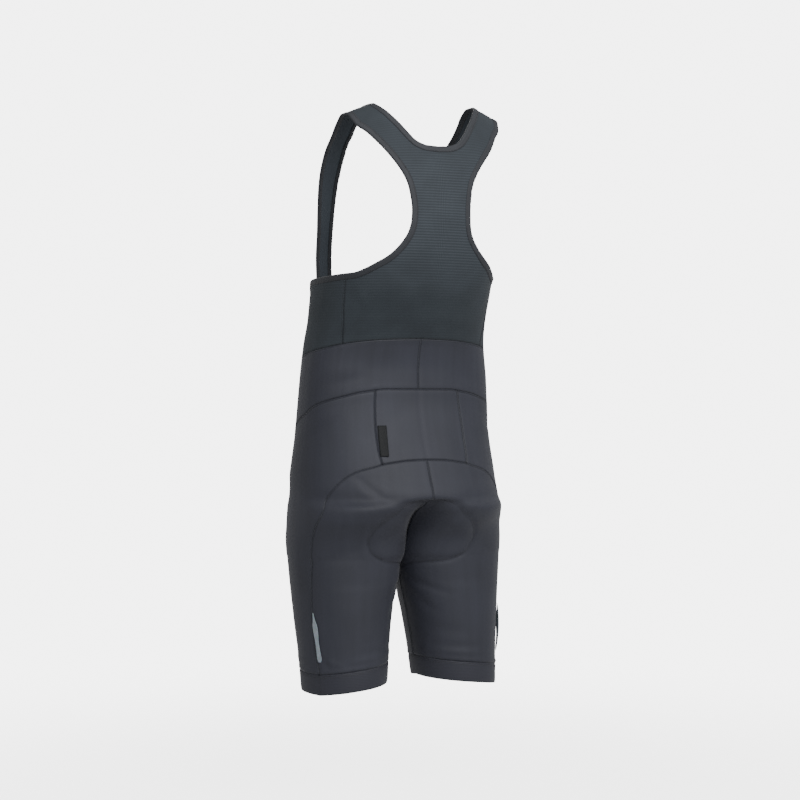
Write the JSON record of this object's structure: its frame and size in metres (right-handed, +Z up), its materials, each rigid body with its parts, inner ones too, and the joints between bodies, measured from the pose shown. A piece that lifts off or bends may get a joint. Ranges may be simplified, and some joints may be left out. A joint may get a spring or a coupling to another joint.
{
  "type": "cycling bib shorts",
  "caption": "Cycling bib shorts with a racer back, bound neck and armholes, waist yoke, back pocket panel, seat pad and banded legs, in worn form with no wearer.",
  "frame": {"origin": "midway between the two shoulder straps at their tops, where the wearer's shoulders carry the garment", "axes": "+Z up, along the worn garment; +Y to the wearer's back; +X to the wearer's left"},
  "size_m": [0.3446, 0.2565, 0.8673],
  "materials": {
    "ribbed_mesh": "matte ribbed warp-knit mesh",
    "leg_knit": "smooth stretch tricot with a faint sheen",
    "binding_knit": "folded elastic binding",
    "hem_knit": "double elastic hem band",
    "pad_foam": "brushed microfibre over foam",
    "reflective_film": "silver-grey retroreflective film",
    "label_satin": "bare woven satin"
  },
  "bodies": {
    "root": {"bib_back": "ribbed_mesh", "bib_front": "ribbed_mesh", "strap_left": "ribbed_mesh", "strap_right": "ribbed_mesh", "binding_armhole_left": "binding_knit", "binding_armhole_right": "binding_knit", "binding_neck": "binding_knit", "yoke_left": "leg_knit", "yoke_right": "leg_knit", "pocket_back": "leg_knit", "leg_front_left": "leg_knit", "leg_front_right": "leg_knit", "leg_back_left": "leg_knit", "leg_back_right": "leg_knit", "hem_left": "hem_knit", "hem_right": "hem_knit", "seat_pad": "pad_foam", "reflective_tab_left": "reflective_film", "reflective_tab_right": "reflective_film", "label_tab": "label_satin"}
  },
  "joints": []
}
